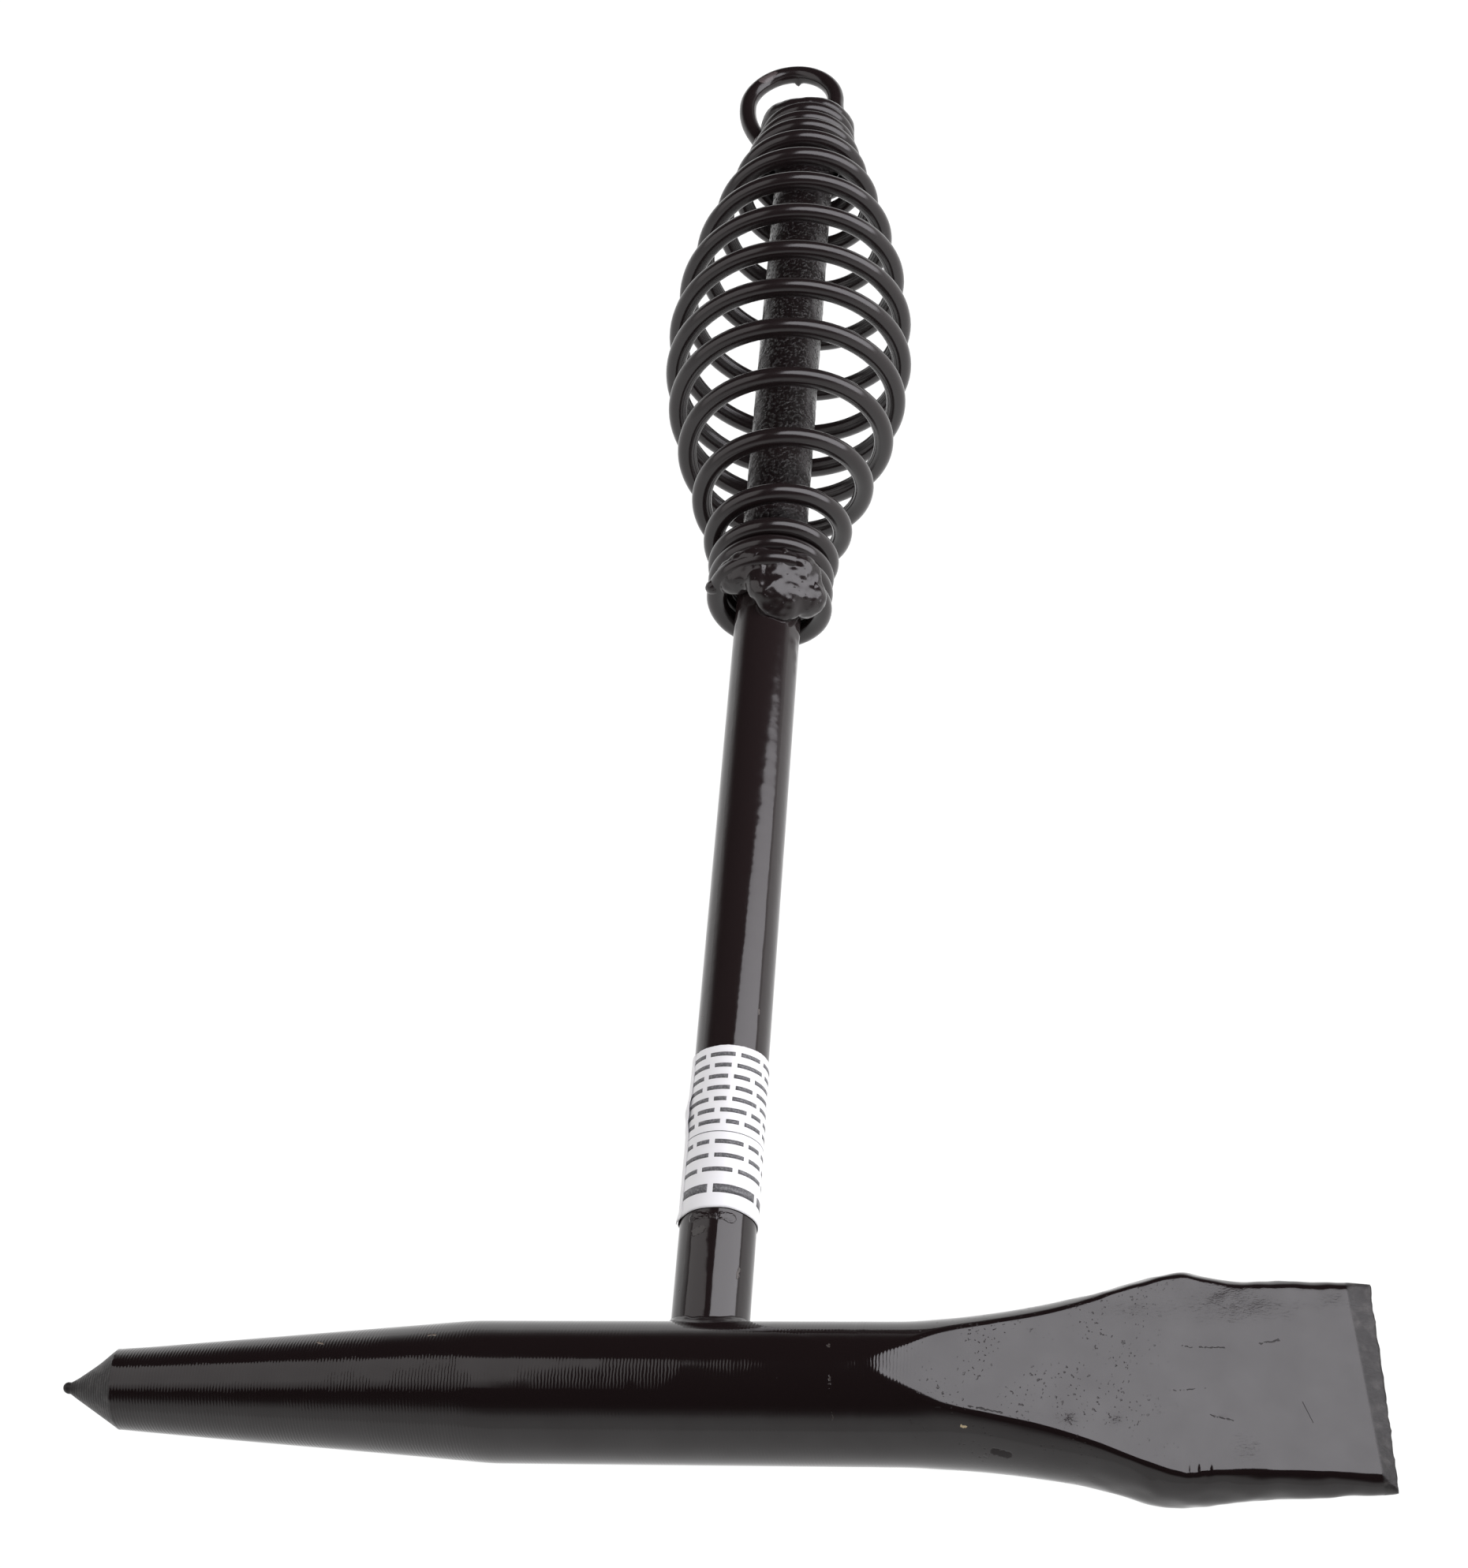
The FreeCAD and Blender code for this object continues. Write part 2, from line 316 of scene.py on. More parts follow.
    def strokes(self, marks):
        """The union of several strokes."""
        total = None
        for mark in marks:
            one = self.stroke(*mark)
            total = one if total is None else self.math("MAXIMUM", total, one)
        return total

    def bump(self, height, depth, normal=None):
        """Relief of depth mm."""
        node = self.add("ShaderNodeBump")
        self.feed(node.inputs["Height"], height)
        self.feed(node.inputs["Distance"], depth * MM)
        self.feed(node.inputs["Strength"], 1.0)
        if normal is not None:
            self.feed(node.inputs["Normal"], normal)
        return node.outputs[0]

    def finish(self, colour, roughness, normal=None, metallic=0.0, specular=0.5, coat=0.0):
        body = self.add("ShaderNodeBsdfPrincipled")
        self.feed(body.inputs["Base Color"], colour)
        self.feed(body.inputs["Roughness"], roughness)
        self.feed(body.inputs["Metallic"], metallic)
        self.feed(body.inputs["Specular IOR Level"], specular)
        self.feed(body.inputs["Coat Weight"], coat)
        if normal is not None:
            self.feed(body.inputs["Normal"], normal)
        output = self.add("ShaderNodeOutputMaterial")
        self.feed(output.inputs["Surface"], body.outputs[0])
        return self.material


BLACK = (0.0096, 0.0060, 0.0062, 1)
HAZY = (0.0160, 0.0108, 0.0111, 1)
SOOT = (0.013, 0.011, 0.011, 1)
DULL = (0.10, 0.085, 0.075, 1)
BRONZE = (0.16, 0.12, 0.085, 1)
RUST = (0.20, 0.075, 0.05, 1)


def enamel(shader, peel, size):
    """Gloss black dipped paint: its uneven roughness and the relief of its orange peel."""
    roughness = shader.blend(shader.noise(9.0, 3.0), 0.05, 0.13)
    normal = shader.bump(shader.noise(size, 1.5), peel)
    normal = shader.bump(shader.noise(0.35, 2.0), 0.0012, normal)
    return roughness, normal


def head_paint():
    s = Shader("head_enamel")
    x, y = s.axis(0), s.axis(1)
    roughness, normal = enamel(s, 0.014, 3.0)
    # Turning marks round the taper and, more faintly, round the bar
    rings = s.math("SINE", s.math("ADD", s.math("MULTIPLY", x, 2 * math.pi / 0.42),
                                  s.math("MULTIPLY", s.noise(1.2, 2.0), 5.0)))
    on_taper = s.step(x, -27.0, -31.0)
    on_bar = s.step(x, 30.0, 18.0)
    patchy = s.step(s.noise(6.0, 2.0), 0.30, 0.60)
    strength = s.math("MULTIPLY", s.blend(on_taper, 0.35, 1.0), s.math("MULTIPLY", on_bar, patchy))
    normal = s.bump(s.math("MULTIPLY", rings, strength), 0.010, normal)
    # Bare, dull steel on the ground cone and along the cutting bevel
    cone_line = s.math("ADD", x, s.math("MULTIPLY", s.math("MAXIMUM", y, 0.0), CONE_SLANT))
    cone = s.step(cone_line, CONE_BASE_X + 0.2, CONE_BASE_X - 0.3)
    bevel_line = s.math("ADD", x, s.math("MULTIPLY", y, BEVEL_SLANT))
    bevel = s.step(bevel_line, BEVEL_START_X - 0.1, BEVEL_START_X + 0.25)
    ground = s.math("MAXIMUM", cone, bevel)
    streaks = s.noise(0.5, 3.0, s.stretched(0.3, 1.6, 1.6))
    wear = s.step(s.noise(1.6, 4.0), 0.45, 0.75)
    grey = s.tint(s.math("MULTIPLY", streaks, wear), (0.014, 0.012, 0.012, 1), (0.085, 0.078, 0.075, 1))
    colour = s.tint(ground, BLACK, grey)
    roughness = s.blend(ground, roughness, s.blend(streaks, 0.30, 0.55))
    normal = s.bump(s.math("MULTIPLY", streaks, ground), 0.04, normal)
    # Wrinkled and pitted paint on the chisel's flats
    wrinkled, pitted = s.painted("wrinkled"), s.painted("pitted")
    wrinkle = s.noise(0.42, 2.0, s.stretched(0.6, 1.4, 1.0), 1.2)
    normal = s.bump(s.math("MULTIPLY", wrinkle, wrinkled), 0.055, normal)
    pits = s.math("MULTIPLY", s.step(s.noise(0.42, 1.0), 0.66, 0.74), pitted)
    # Scratches and short cuts
    flat_cuts = s.strokes([
        ((68.6, 2.0, 3.4), (79.4, 2.3, 2.1), 0.04, False),
        ((58.6, 4.5, 4.5), (59.8, 4.3, 4.3), 0.07),
        ((60.6, 4.4, 4.2), (63.6, 4.5, 3.9), 0.08),
        ((56.8, -1.5, 4.7), (61.3, -1.0, 4.2), 0.06),
        ((67.8, 5.3, 3.4), (70.2, 5.9, 3.1), 0.11),
        ((61.6, -4.3, 4.1), (64.4, -4.9, 3.8), 0.08),
        ((72.5, -2.0, 2.9), (73.6, -4.6, 2.8), 0.05, False),
        ((33.2, -4.9, 7.4), (37.2, -5.6, 6.9), 0.10),
    ])
    bar_cuts = s.strokes([
        ((16.2, 2.4, 8.4), (16.6, -2.2, 8.4), 0.14),
        ((16.6, -2.6, 8.3), (16.9, -6.2, 6.2), 0.08),
        ((10.2, -2.0, 8.5), (11.5, -7.6, 4.3), 0.05),
    ])
    cuts = s.math("MAXIMUM", flat_cuts, bar_cuts)
    colour = s.tint(s.math("MULTIPLY", flat_cuts, 0.5), colour, SOOT)
    colour = s.tint(s.math("MULTIPLY", bar_cuts, 0.45), colour, DULL)
    # Chips down to steel, a yellow fleck and a dull hollow
    chips = s.strokes([
        ((-34.6, 4.2, 7.6), (-33.4, 4.2, 7.6), 0.30),
        ((-48.6, 3.6, 6.3), (-47.9, 3.3, 6.5), 0.16),
    ])
    yellow = s.stroke((32.4, -6.9, 6.1), (33.0, -7.05, 6.1), 0.20)
    hollow = s.stroke((36.2, -9.0, 3.3), (37.6, -9.2, 3.0), 0.62)
    colour = s.tint(s.math("MULTIPLY", chips, 0.8), colour, BRONZE)
    colour = s.tint(yellow, colour, (0.50, 0.40, 0.24, 1))
    bare = s.math("MAXIMUM", chips, yellow)
    dents = s.math("MAXIMUM", s.math("MULTIPLY", hollow, 0.7), s.math("MULTIPLY", cuts, 0.55))
    dull = s.math("MAXIMUM", dents, s.math("MULTIPLY", pits, 0.45))
    normal = s.bump(s.math("MAXIMUM", bare, dull), -0.05, normal)
    roughness = s.blend(s.math("MAXIMUM", bare, dull), roughness, 0.45)
    roughness = s.blend(s.math("MULTIPLY", wrinkled, 0.8), roughness, 0.26)
    sheen = s.blend(s.noise(5.0, 4.0), 0.42, 0.56)
    sheen = s.blend(s.math("MAXIMUM", dull, s.math("MULTIPLY", ground, 0.45)), sheen, 0.06)
    return s.finish(colour, roughness, normal, specular=sheen)


def rod_paint():
    s = Shader("rod_enamel")
    y = s.axis(1)
    roughness, normal = enamel(s, 0.026, 2.4)
    runs = s.noise(1.0, 2.0, s.stretched(1.0, 0.12, 1.0))
    normal = s.bump(runs, 0.008, normal)
    haze = s.tint(s.step(y, 10.0, 70.0), (0.0135, 0.0090, 0.0092, 1), HAZY)
    # Thin, gritty paint where the coil shades the rod, and painted shade there: the rod's colour darkens to black
    # inside the coil
    inside = s.step(y, 131.0, 136.0)
    grains = s.step(s.noise(0.62, 2.0), 0.50, 0.72)
    normal = s.bump(s.math("MULTIPLY", grains, inside), 0.16, normal)
    roughness = s.blend(inside, roughness, 0.24)
    # painted shade: the colour goes from the hazy paint to black inside the coil
    colour = s.tint(inside, haze, BLACK)
    chips = s.strokes([
        ((3.5, 14.0, 3.5), (3.7, 15.4, 3.3), 0.20),
        ((3.75, 53.6, 3.3), (3.75, 54.2, 3.3), 0.14),
        ((-4.0, 53.4, 3.0), (-4.0, 53.6, 3.0), 0.12),
        ((-3.6, 12.2, 3.4), (-3.5, 12.3, 3.5), 0.12),
    ])
    blot = s.stroke((-2.1, 20.0, 4.5), (-1.3, 20.2, 4.8), 0.55)
    colour = s.tint(s.math("MULTIPLY", chips, 0.7), colour, DULL)
    colour = s.tint(blot, colour, (0.06, 0.055, 0.052, 1))
    marks = s.math("MAXIMUM", chips, blot)
    roughness = s.blend(marks, roughness, 0.42)
    normal = s.bump(marks, -0.05, normal)
    # Paint dragged under the label's edge
    dragged = s.stroke((-2.6, 22.2, 4.3), (2.4, 22.0, 4.4), 0.7)
    normal = s.bump(s.math("MULTIPLY", s.noise(0.7, 2.0), dragged), 0.10, normal)
    return s.finish(colour, roughness, normal)


def wire_paint():
    s = Shader("wire_enamel")
    roughness, normal = enamel(s, 0.006, 2.0)
    roughness = s.math("ADD", roughness, 0.09)
    specks = s.step(s.noise(0.8, 3.0), 0.735, 0.76)
    sparse = s.step(s.noise(11.0, 1.0), 0.56, 0.66)
    specks = s.math("MULTIPLY", specks, sparse)
    # Rubbed patches on the hanging ring's bow
    bow = s.strokes([
        ((-9.2, 257.6, -0.4), (-7.0, 259.4, -0.6), 0.75),
        ((-4.6, 259.9, -2.2), (-1.9, 259.8, -2.3), 0.55),
    ])
    colour = s.tint(s.math("MULTIPLY", specks, 0.5), (0.0125, 0.0085, 0.0088, 1), DULL)
    colour = s.tint(s.math("MULTIPLY", bow, 0.6), colour, (0.13, 0.105, 0.105, 1))
    roughness = s.blend(s.math("MAXIMUM", specks, bow), roughness, 0.33)
    normal = s.bump(s.math("MAXIMUM", specks, bow), -0.02, normal)
    return s.finish(colour, roughness, normal)


def weld_paint():
    s = Shader("weld_enamel")
    roughness, normal = enamel(s, 0.040, 1.3)
    roughness = s.math("ADD", roughness, 0.09)
    pits = s.step(s.noise(0.6, 2.0), 0.68, 0.76)
    normal = s.bump(pits, -0.09, normal)
    bare = s.stroke((3.6, 134.6, 6.4), (5.4, 134.2, 5.6), 0.75)
    colour = s.tint(s.math("MULTIPLY", bare, 0.6), (0.0125, 0.0085, 0.0088, 1), RUST)
    roughness = s.blend(bare, roughness, 0.3)
    return s.finish(colour, roughness, normal)


def paper():
    s = Shader("label_paper")
    fibres = s.noise(0.5, 4.0)
    shade = s.noise(6.0, 2.0)
    colour = s.tint(shade, (0.88, 0.88, 0.89, 1), (0.93, 0.93, 0.935, 1))
    normal = s.bump(fibres, 0.004)
    creases = s.noise(2.2, 3.0, s.stretched(1.0, 0.45, 1.0), 1.5)
    normal = s.bump(creases, 0.03, normal)
    return s.finish(colour, s.blend(fibres, 0.38, 0.5), normal)


def ink():
    s = Shader("label_ink")
    worn = s.step(s.noise(0.25, 3.0), 0.40, 0.70)
    colour = s.tint(worn, (0.10, 0.10, 0.105, 1), (0.22, 0.22, 0.225, 1))
    return s.finish(colour, 0.45, s.bump(s.noise(0.3, 2.0), 0.003))


def floor_paper():
    """A lit white table: it glows as the backdrop does, with a trace of shading."""
    s = Shader("table")
    glow = s.add("ShaderNodeEmission")
    s.feed(glow.inputs["Color"], (1, 1, 1, 1))
    s.feed(glow.inputs["Strength"], 1.0)
    matte = s.add("ShaderNodeBsdfDiffuse")
    s.feed(matte.inputs["Color"], s.tint(s.noise(40.0, 3.0), (0.055,) * 3 + (1,), (0.065,) * 3 + (1,)))
    both = s.add("ShaderNodeAddShader")
    s.feed(both.inputs[0], glow.outputs[0])
    s.feed(both.inputs[1], matte.outputs[0])
    output = s.add("ShaderNodeOutputMaterial")
    s.feed(output.inputs["Surface"], both.outputs[0])
    return s.material


# ---- head ----

FLAT_POINTS = 56      # points across each forged flat
CORNER_POINTS = 6
SIDE_POINTS = 26
CORNER_CUT = 0.55     # how far the paint rounds the flats' edges


def spread_at(x, column):
    """Smooth curve through one column of BLADE_SPREAD, with no overshoot."""
    spots = [(row[0], row[column]) for row in BLADE_SPREAD]
    slopes = [(q[1] - p[1]) / (q[0] - p[0]) for p, q in zip(spots, spots[1:])]
    lean = [slopes[0]] + [0.0] * (len(slopes) - 1) + [slopes[-1]]
    for i in range(1, len(slopes)):
        before, after = slopes[i - 1], slopes[i]
        if before * after > 0:
            lean[i] = 2 * before * after / (before + after)
    if column == 2:
        lean[0] = 0.0
    i = max(k for k in range(len(slopes)) if spots[k][0] <= x + 1e-9)
    (x0, y0), (x1, y1) = spots[i], spots[i + 1]
    run = x1 - x0
    t = (x - x0) / run
    value = (2 * t ** 3 - 3 * t ** 2 + 1) * y0 + (3 * t ** 2 - 2 * t ** 3) * y1
    return value + (t ** 3 - 2 * t ** 2 + t) * run * lean[i] + (t ** 3 - t ** 2) * run * lean[i + 1]


def flat_drop(x):
    """How far the flat lies below the top of the bar."""
    run = x - FLAT_START_X
    if run < FLAT_EASE:
        run = max(run + FLAT_EASE, 0.0) ** 2 / (4 * FLAT_EASE)
    return run * FLAT_SLOPE


def chord_half(height):
    """Half the chord of the round bar at a height."""
    return math.sqrt(max(HEAD_RADIUS ** 2 - height ** 2, 0.0))


def quarter(x, flat_half, height, outer_half):
    """The outline's points in its +Y, +Z quarter, from the middle of the flat to the side."""
    cut = min(CORNER_CUT, 0.45 * flat_half)
    swell = (outer_half - flat_half) ** 2 + height ** 2
    arc_radius = swell / (2 * (outer_half - flat_half))
    centre = outer_half - arc_radius
    corner_angle = math.atan2(height, flat_half - centre)
    side_angle = corner_angle - cut / arc_radius
    points = []
    half_flat = FLAT_POINTS // 2
    for i in range(half_flat + 1):
        points.append(((flat_half - cut) * i / half_flat, height))
    leave = (centre + arc_radius * math.cos(side_angle), arc_radius * math.sin(side_angle))
    lean = (-math.sin(side_angle), math.cos(side_angle))
    knee = (leave[0] + lean[0] * (height - leave[1]) / lean[1], height)
    start = points[-1]
    for i in range(1, CORNER_POINTS):
        t = i / CORNER_POINTS
        points.append(tuple((1 - t) ** 2 * a + 2 * t * (1 - t) * k + t * t * b
                            for a, k, b in zip(start, knee, leave)))
    for i in range(SIDE_POINTS // 2 + 1):
        a = side_angle * (1 - 2 * i / SIDE_POINTS)
        points.append((centre + arc_radius * math.cos(a), arc_radius * math.sin(a)))
    return points


def round_quarter(x, radius):
    """The same number of points on a circle, bunched towards where the flats begin."""
    ahead = max(FLAT_START_X - FLAT_EASE - x, 0.0)
    flat_half = min(0.05 + 0.46 * ahead, 5.0)
    cut = min(CORNER_CUT, 0.45 * flat_half)
    corner = math.asin(flat_half / HEAD_RADIUS)
    first, second = corner - cut / HEAD_RADIUS, corner + cut / HEAD_RADIUS
    half_flat = FLAT_POINTS // 2
    angles = [first * i / half_flat for i in range(half_flat + 1)]
    angles += [first + (second - first) * i / CORNER_POINTS for i in range(1, CORNER_POINTS)]
    rest = math.pi / 2 - second
    angles += [second + rest * 2 * i / SIDE_POINTS for i in range(SIDE_POINTS // 2 + 1)]
    return [(radius * math.sin(a), radius * math.cos(a)) for a in angles]


def full_ring(corner):
    """The whole outline from its quarter, going round through +Z, +Y, -Z and -Y."""
    top_right = corner
    bottom_right = [(y, -z) for y, z in reversed(corner)][1:]
    bottom_left = [(-y, -z) for y, z in corner][1:]
    top_left = [(-y, z) for y, z in reversed(corner)][1:-1]
    return top_right + bottom_right + bottom_left + top_left


def bar_radius(x):
    if x < CONE_BASE_X:
        ball = math.sqrt(max(NUB_RADIUS ** 2 - (x - TIP_X - NUB_RADIUS) ** 2, 0.0))
        share = (x - TIP_X - NUB_RADIUS) / (CONE_BASE_X - TIP_X - NUB_RADIUS)
        return max(ball, NUB_NECK + (CONE_BASE_RADIUS - NUB_NECK) * share)
    ease = 1.6
    short = TAPER_END_X - x
    if abs(short) < ease:
        short = (short + ease) ** 2 / (4 * ease)
    return HEAD_RADIUS - max(short, 0.0) * (HEAD_RADIUS - CONE_BASE_RADIUS) / (TAPER_END_X - CONE_BASE_X)


def spaced(start, end, step):
    count = max(1, round((end - start) / step))
    return [start + (end - start) * i / count for i in range(count)]


def head_rings():
    """Every ring of the head as a list of points, from the point to the cutting edge."""
    rings = []
    for turn in (0.12, 0.3, 0.55, 0.8, 1.05, 1.3):
        radius = NUB_RADIUS * math.sin(turn)
        x = TIP_X + NUB_RADIUS * (1 - math.cos(turn))
        rings.append([(x, y, z) for y, z in full_ring(round_quarter(x, radius))])
    stations = spaced(TIP_X + NUB_RADIUS * 0.85, TIP_X + 2.4, 0.15)
    stations += spaced(TIP_X + 2.4, CONE_BASE_X - 0.15, 0.5)
    stations += [CONE_BASE_X - 0.12, CONE_BASE_X, CONE_BASE_X + 0.12, CONE_BASE_X + 0.35]
    stations += spaced(CONE_BASE_X + 0.8, TAPER_END_X - 1.6, 0.9)
    nose_x = FLAT_START_X - FLAT_EASE
    stations += spaced(TAPER_END_X - 1.6, TAPER_END_X + 1.6, 0.4)
    stations += spaced(TAPER_END_X + 1.6, nose_x - 1.0, 0.9)
    stations += spaced(nose_x - 1.0, nose_x, 0.25)
    for x in stations:
        rings.append([(x, y, z) for y, z in full_ring(round_quarter(x, bar_radius(x)))])
    for x in spaced(nose_x + 0.12, BLADE_START_X, 0.16):
        height = HEAD_RADIUS - flat_drop(x)
        corner = quarter(x, chord_half(height), height, HEAD_RADIUS)
        rings.append([(x, y, z) for y, z in full_ring(corner)])
    stations = spaced(BLADE_START_X, BEVEL_START_X - 0.12, 0.36)
    stations += [BEVEL_START_X - 0.12, BEVEL_START_X - 0.02, BEVEL_START_X + 0.08]
    stations += spaced(BEVEL_START_X + 0.3, EDGE_X, 0.3) + [EDGE_X]
    for s in stations:
        rings.append(blade_ring(s))
    return rings


def blade_ring(s):
    """The blade's outline at station s; its stations lean towards the slanted edge."""
    x = min(s, EDGE_X)
    middle = BLADE_OFFSET * smooth((x - BLADE_START_X) / (SHOULDER_X - BLADE_START_X))
    middle += EDGE_OFFSET * smooth((x - SHOULDER_X) / (EDGE_X - SHOULDER_X))
    flat_half, outer_half = spread_at(x, 1), spread_at(x, 2)
    height = HEAD_RADIUS - flat_drop(x)
    slant = BEVEL_SLANT * smooth((x - 62.0) / (BEVEL_START_X - 62.0))
    if s > BEVEL_START_X:
        fall = (s - BEVEL_START_X) / (EDGE_X - BEVEL_START_X)
        start_height = HEAD_RADIUS - flat_drop(BEVEL_START_X)
        lower = start_height + (EDGE_HALF - start_height) * fall
        arc_radius = ((outer_half - flat_half) ** 2 + height ** 2) / (2 * (outer_half - flat_half))
        flat_half = outer_half - arc_radius + math.sqrt(arc_radius ** 2 - lower ** 2)
        height = lower
        slant = BEVEL_SLANT + (EDGE_SLANT - BEVEL_SLANT) * fall
    ring = []
    for y, z in full_ring(quarter(x, flat_half, height, outer_half)):
        ring.append((x - y * slant, y + middle, z))
    return ring


def blade_relief(p):
    """Forging marks, dents and wrinkled paint on the chisel, in mm."""
    on_blade = smooth((p.x - 24.0) / 12.0)
    height = 0.006 * lumps(p, 2.6)
    # The taper was turned a little off centre, so it runs further along the near side
    height -= 0.24 * max(-p.y / HEAD_RADIUS, 0.0) * smooth((p.x + 72.0) / 38.0) * smooth((-25.6 - p.x) / 5.0)
    height += on_blade * (0.030 * lumps(p, 7.5) + 0.007 * lumps(p, 1.7))
    wrinkles = bell(p, (65.0, 9.6, 4.0), (5.5, 2.6, 3.0)) + 0.8 * bell(p, (65.8, -7.8, 4.0), (2.6, 2.2, 3.0))
    wrinkles += 0.6 * bell(p, (52.0, 8.5, 5.0), (4.0, 2.2, 3.0))
    height += wrinkles * 0.05 * lumps((p.x * 0.6, p.y * 1.3, p.z), 1.0)
    height -= 0.10 * bell(p, (62.9, -3.9, 4.0), (1.1, 0.5, 2.0))
    height -= 0.06 * bell(p, (44.7, -5.7, 6.0), (0.5, 0.4, 2.0))
    height -= 0.06 * bell(p, (50.2, -5.5, 5.4), (0.5, 0.4, 2.0))
    for x in (58.6, 59.7, 61.1):
        height -= 0.16 * bell(p, (x, -11.3, 4.3), (0.28, 0.9, 1.2))
    flank = smooth((abs(p.y) - 9.0) / 3.0) * smooth((p.x - 34.0) / 14.0)
    height += flank * (0.13 * lumps(p, 4.2) + 0.07 * lumps(p, 1.8))
    for x, z, size in ((47.0, 2.5, 1.6), (53.5, 0.5, 2.2), (62.0, 1.5, 1.8), (70.0, 0.5, 2.4), (76.0, 1.2, 1.5)):
        height -= 0.22 * bell(p, (x, -13.6, z), (size, 2.0, size * 0.8))
    # The near shoulder is broad and the far one stands further out
    height += 0.45 * bell(p, (54.9, -13.2, 0.0), (2.2, 3.0, 4.0))
    height += 0.45 * bell(p, (59.0, 15.2, 0.0), (1.6, 3.0, 5.0)) - 0.35 * bell(p, (65.0, 15.0, 0.0), (3.0, 3.0, 5.0))
    return height


def paint_masks(obj):
    """Stores where the chisel's paint is wrinkled or pitted, for its material."""
    wrinkled = obj.data.attributes.new("wrinkled", "FLOAT", "POINT")
    pitted = obj.data.attributes.new("pitted", "FLOAT", "POINT")
    spots = (
        ((65.0, 10.2, 3.9), (8.5, 2.6, 4.0), 1.1), ((65.9, -8.2, 3.5), (2.6, 1.9, 3.0), 1.1),
        ((44.8, -5.8, 6.0), (1.5, 0.9, 2.0), 1.3), ((50.5, -5.5, 5.4), (1.1, 0.8, 2.0), 1.0),
        ((66.0, 4.6, 3.5), (8.0, 2.0, 3.0), 0.35), ((52.0, 8.6, 5.2), (5.0, 1.4, 2.0), 0.5),
        ((78.0, 11.5, 2.5), (3.0, 1.0, 3.0), 1.0), ((57.5, -0.5, 4.6), (5.0, 3.0, 3.0), 0.2),
    )
    for vertex in obj.data.vertices:
        p = unplace(vertex.co)
        share = 0.0
        if p.x > 24.0 and p.z > 0.0:
            share = sum(depth * bell(p, centre, size) for centre, size, depth in spots)
            share *= 0.75 + 0.25 * lumps(p, 2.2)
        wrinkled.data[vertex.index].value = min(max(share, 0.0), 1.0)
        region = smooth((p.x - 24.0) / 6.0) * smooth((64.0 - p.x) / 20.0)
        pitted.data[vertex.index].value = region * smooth(0.5 + 1.6 * lumps(p, 4.0))


def ragged_edge(obj):
    """Nicks along the cutting edge, its worn corner, the burr at the cone's foot and the bent tip."""
    for vertex in obj.data.vertices:
        p = unplace(vertex.co)
        near = smooth((p.x + p.y * EDGE_SLANT - EDGE_X + 1.6) / 1.5)
        if near > 0:
            shift = 0.16 * lumps((p.y, 3.0, p.z * 0.6), 1.3) + 0.10 * lumps((p.y, 8.0, p.z), 0.45)
            low = max(-11.6 - p.y, 0.0)
            p.x += near * shift - near * 0.45 * low ** 2
            p.z += near * 0.06 * lumps((p.y, 20.0, 0.0), 1.0)
        burr = bell(p, (CONE_BASE_X, p.y, p.z), (0.25, 1, 1))
        if burr > 0.01:
            p += Vector((0, p.y, p.z)).normalized() * burr * 0.07 * lumps(p, 0.8)
        if p.y > 0:
            p.x -= CONE_SLANT * p.y * math.exp(-((p.x - CONE_BASE_X) / 2.5) ** 2)
        if p.x < TIP_X + 2.2:
            p.z += 0.35 * smooth((TIP_X + 2.2 - p.x) / 2.2)
        vertex.co = place(p)
    obj.data.update()


def build_head(material):
    rings = head_rings()
    sides = len(rings[0])
    points = [point for ring in rings for point in ring]
    faces = ring_faces(len(rings), sides, caps=False)
    faces.append(tuple(range(sides)))
    # The edge's end face, in strips between its upper and lower borders
    base = (len(rings) - 1) * sides
    for i in range(sides // 2):
        a, b = base + (sides // 4 - i) % sides, base + (sides // 4 - i - 1) % sides
        c, d = base + (sides // 4 + i + 1) % sides, base + (sides // 4 + i) % sides
        corners = [a, b, c, d] if i else [a, b, c]
        if i < sides // 2 - 1:
            faces.append(tuple(dict.fromkeys(corners)))
        else:
            faces.append(tuple(dict.fromkeys([a, b, d])))
    obj = make_piece("head", points, faces, "hammer_head", material)
    roughen(obj, blade_relief)
    ragged_edge(obj)
    paint_masks(obj)
    return obj


# ---- rod ----

def build_rod(material):
    sides = 112
    stations = spaced(ROD_START_Y, ROD_END_Y - 0.6, 0.8) + [ROD_END_Y - 0.6, ROD_END_Y - 0.3, ROD_END_Y]
    points = []
    for y in stations:
        radius = ROD_RADIUS - max(y - ROD_END_Y + 0.6, 0.0)
        for i in range(sides):
            a = 2 * math.pi * i / sides
            points.append((radius * math.sin(a), y, radius * math.cos(a)))
    obj = make_piece("rod", points, ring_faces(len(stations), sides), "handle_rod", material)

    def relief(p):
        inside = smooth((p.y - 131.0) / 4.0)
        height = 0.010 * lumps((p.x, p.y * 0.5, p.z), 2.2) + 0.006 * lumps(p, 6.0)
        height += inside * (0.07 * lumps(p, 1.3) + 0.05 * lumps(p, 0.7))
        # Drips of paint and spatter below the collar weld
        for x, y, size, tall in ((4.9, 122.6, 0.6, 0.34), (4.6, 120.6, 0.5, 0.24), (4.85, 118.4, 0.45, 0.16),
                                 (4.9, 116.0, 0.4, 0.10), (-3.8, 126.2, 0.6, 0.22), (-4.4, 124.0, 0.5, 0.12)):
            z = math.sqrt(max(ROD_RADIUS ** 2 - x * x, 0.0))
            height += tall * bell(p, (x, y, z), (size, size * 1.8, size * 1.4))
        return height

    roughen(obj, relief)
    return obj


# ---- coil ----

def wave(turn, height, centre, width):
    return height * math.exp(-((turn - centre) / width) ** 2)


